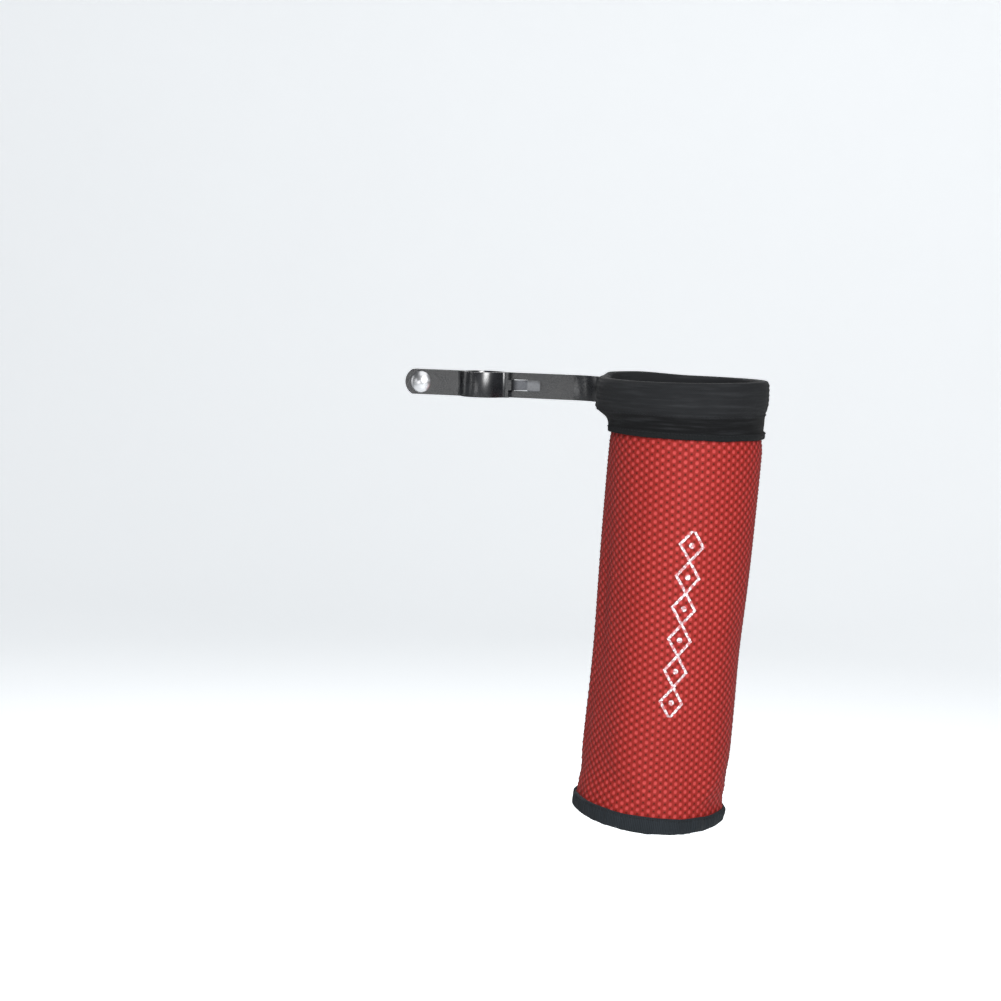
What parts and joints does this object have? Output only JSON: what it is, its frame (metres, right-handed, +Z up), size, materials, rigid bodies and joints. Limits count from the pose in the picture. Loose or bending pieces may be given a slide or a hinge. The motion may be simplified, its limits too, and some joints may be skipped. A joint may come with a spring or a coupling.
{
  "type": "drum stick bag",
  "caption": "Padded cloth tube on an open metal hoop, with an arm and a hinged two-part clamp that holds it on a round stand tube.",
  "frame": {"origin": "centre of the clamp bore, at the middle of the bar's height", "axes": "+Z up the stand tube, +X along the arm towards the bag, -Y the front with the bolt head"},
  "size_m": [0.2423, 0.1056, 0.2777],
  "materials": {
    "black_alloy": "satin black",
    "bright_steel": "plated",
    "plated_nut": "zinc plated",
    "black_cloth": "woven",
    "black_lining": "woven",
    "black_binding": "ribbed tape",
    "black_thread": "thread",
    "net": "dark gaps between red dots",
    "red_cloth": "smooth weave",
    "foam": "open-cell foam",
    "base_cloth": "woven",
    "board": "fibre board",
    "base_binding": "ribbed tape"
  },
  "bodies": {
    "holder": {"hoop_arm": "black_alloy", "cuff_casing": "black_cloth", "cuff_lining": "black_lining", "cuff_hem": "black_binding", "casing_thread": "black_thread", "hem_thread": "black_thread", "mesh_net": "net", "red_shell": "red_cloth", "foam_wall": "foam", "inner_lining": "black_lining", "seam_tape": "black_binding", "base_panel": "base_cloth", "base_stiffener": "board", "base_lining": "black_lining", "base_binding": "base_binding", "base_thread": "black_thread"},
    "jaw": {"clamp_jaw": "black_alloy", "clamp_bolt": "bright_steel"},
    "washer": {"bolt_washer": "bright_steel"},
    "nut": {"wing_nut": "plated_nut"}
  },
  "joints": [
    {"name": "nut_turn", "type": "hinge", "parent": "washer", "child": "nut", "pos_m": [-0.041, 0.01, 0], "axis": [0, 1, 0], "range_deg": [0, 4125]},
    {"name": "jaw_swing", "type": "hinge", "parent": "holder", "child": "jaw", "pos_m": [0.0238, 0.0024, 0], "axis": [0, 0, 1], "range_deg": [0, 9]},
    {"name": "washer_slide", "type": "slide", "parent": "jaw", "child": "washer", "axis": [0, 1, 0], "range_m": [0, 0.0115]}
  ],
  "couplings": [
    {"joint": "washer_slide", "follows": "nut_turn", "m_per_rad": 0.00015915},
    {"joint": "jaw_swing", "follows": "nut_turn", "ratio": 0.0021802}
  ]
}
